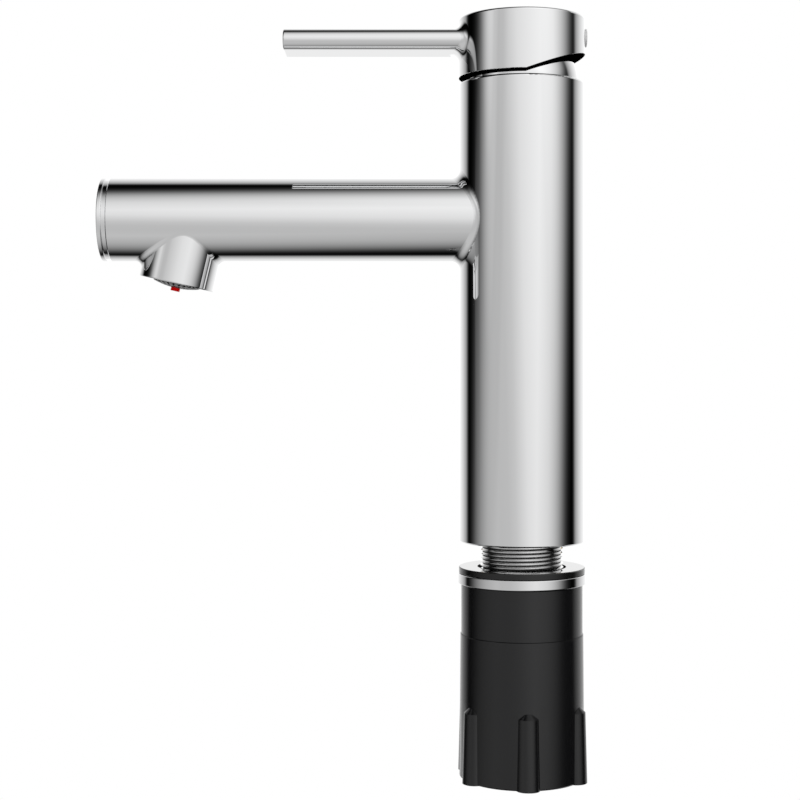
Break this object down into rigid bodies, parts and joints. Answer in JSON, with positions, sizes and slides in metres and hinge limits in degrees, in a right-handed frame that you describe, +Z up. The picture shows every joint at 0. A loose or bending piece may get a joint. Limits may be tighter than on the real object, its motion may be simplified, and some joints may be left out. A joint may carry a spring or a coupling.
{
  "type": "single-lever basin mixer tap",
  "caption": "Chromed basin mixer: round column, straight spout with angled outlet, lever on top, threaded shank with gasket, washer and ribbed nut below.",
  "frame": {"origin": "centre of the column's foot, in the plane where it stands on the basin", "axes": "+Z up along the column; -X along the spout and the lever; +Y is the hot side, on the left of a user who faces the spout's end"},
  "size_m": [0.187, 0.0534, 0.2926],
  "materials": {
    "chrome": "polished chrome plate",
    "brass": "machined brass",
    "nickel_thread": "plated thread",
    "zinc_steel": "turned and zinc plated",
    "dark_steel": "blackened steel",
    "black_plastic": "moulded, semi-gloss",
    "black_rubber": "smooth rubber",
    "grey_plastic": "moulded, dark grey",
    "red_plastic": "moulded, red",
    "white_plastic": "moulded, off-white",
    "blue_plastic": "moulded, blue",
    "ceramic": "lapped ceramic",
    "plug_plastic": "metallised plastic"
  },
  "bodies": {
    "root": {"column_tube": "chrome", "spout_tube": "chrome", "spout_end_cap": "chrome", "dome_collar": "chrome", "valve_core": "brass", "retaining_nut": "brass", "foot_bushing": "brass", "threaded_shank": "nickel_thread", "core_stop_ring": "zinc_steel", "foot_seal": "black_rubber", "core_o_rings": "black_rubber", "port_seals": "black_rubber", "disc_seal": "black_rubber", "end_cap_o_ring": "black_rubber", "aerator_gasket": "black_rubber", "aerator_housing": "grey_plastic", "aerator_grille": "grey_plastic", "aerator_core": "red_plastic", "cartridge_base": "white_plastic", "cartridge_housing": "white_plastic", "fixed_disc": "ceramic"},
    "swivel": {"cartridge_rotor": "blue_plastic", "pivot_pin": "zinc_steel"},
    "discs": {"moving_disc": "ceramic", "disc_carrier": "blue_plastic"},
    "lever": {"lever_stem": "zinc_steel", "lever_handle": "chrome", "grub_screw": "dark_steel", "screw_plug": "plug_plastic"},
    "clamp": {"rubber_gasket": "black_rubber", "steel_washer": "zinc_steel", "clamp_spacer": "black_plastic"},
    "nut": {"ribbed_nut": "black_plastic"}
  },
  "joints": [
    {"name": "lever_swivel", "type": "hinge", "parent": "root", "child": "swivel", "pos_m": [0, 0, 0.179], "axis": [0, 0, 1], "range_deg": [-50, 50]},
    {"name": "lever_tilt", "type": "hinge", "parent": "swivel", "child": "lever", "pos_m": [0, 0, 0.179], "axis": [0, 1, 0], "range_deg": [0, 22]},
    {"name": "disc_slide", "type": "slide", "parent": "swivel", "child": "discs", "axis": [-1, 0, 0], "range_m": [0, 0.0047]},
    {"name": "nut_spin", "type": "hinge", "parent": "clamp", "child": "nut", "pos_m": [0, 0, -0.036], "axis": [0, 0, 1], "range_deg": [-4800, 2208]},
    {"name": "clamp_travel", "type": "slide", "parent": "root", "child": "clamp", "axis": [0, 0, 1], "range_m": [-0.0201, 0.0093]}
  ],
  "couplings": [
    {"joint": "disc_slide", "follows": "lever_tilt", "m_per_rad": 0.0121},
    {"joint": "clamp_travel", "follows": "nut_spin", "m_per_rad": 0.00023873}
  ]
}
